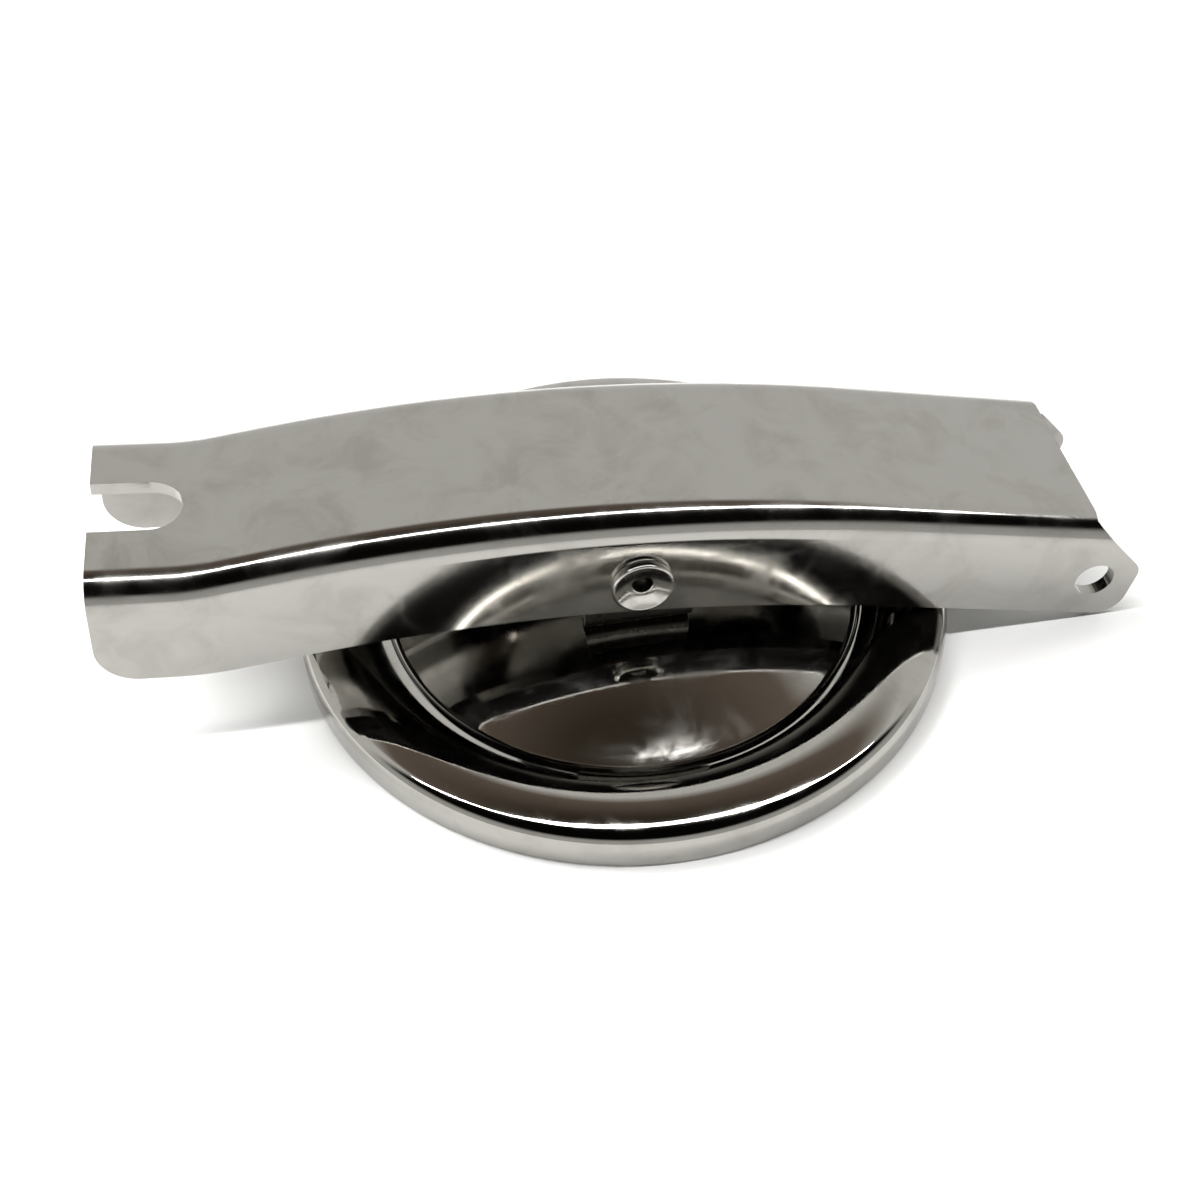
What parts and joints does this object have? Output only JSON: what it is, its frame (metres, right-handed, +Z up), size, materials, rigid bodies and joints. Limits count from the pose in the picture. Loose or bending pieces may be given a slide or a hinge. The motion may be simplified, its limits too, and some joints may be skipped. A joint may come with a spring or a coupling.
{
  "type": "hatch lid with clamp arm",
  "caption": "Round pressed steel hatch lid with a rocking channel clamp arm: open latch slot at one end, hinge ears at the other.",
  "frame": {"origin": "centre of the lid in the plane of its skirt edge, where the neck's mouth is", "axes": "+Z up out of the lid, +X along the arm towards the hinge ears, +Y across the arm"},
  "size_m": [0.1556, 0.102, 0.0341],
  "materials": {
    "polished_steel": "mirror-polished pressed stainless steel",
    "arm_steel": "bright polished stainless steel with buffing swirls",
    "bracket_steel": "dull mill-finish stainless steel",
    "rivet_steel": "turned stainless steel, flared cold",
    "seal_rubber": "moulded black rubber"
  },
  "bodies": {
    "lid": {"lid_pan": "polished_steel", "seal_ring": "seal_rubber", "lid_bracket": "bracket_steel"},
    "arm": {"clamp_arm": "arm_steel", "pivot_rivet": "rivet_steel"}
  },
  "joints": [
    {"name": "arm_tilt", "type": "hinge", "parent": "lid", "child": "arm", "pos_m": [0, 0, 0.0208], "axis": [0, -1, 0], "range_deg": [0, 10]}
  ]
}
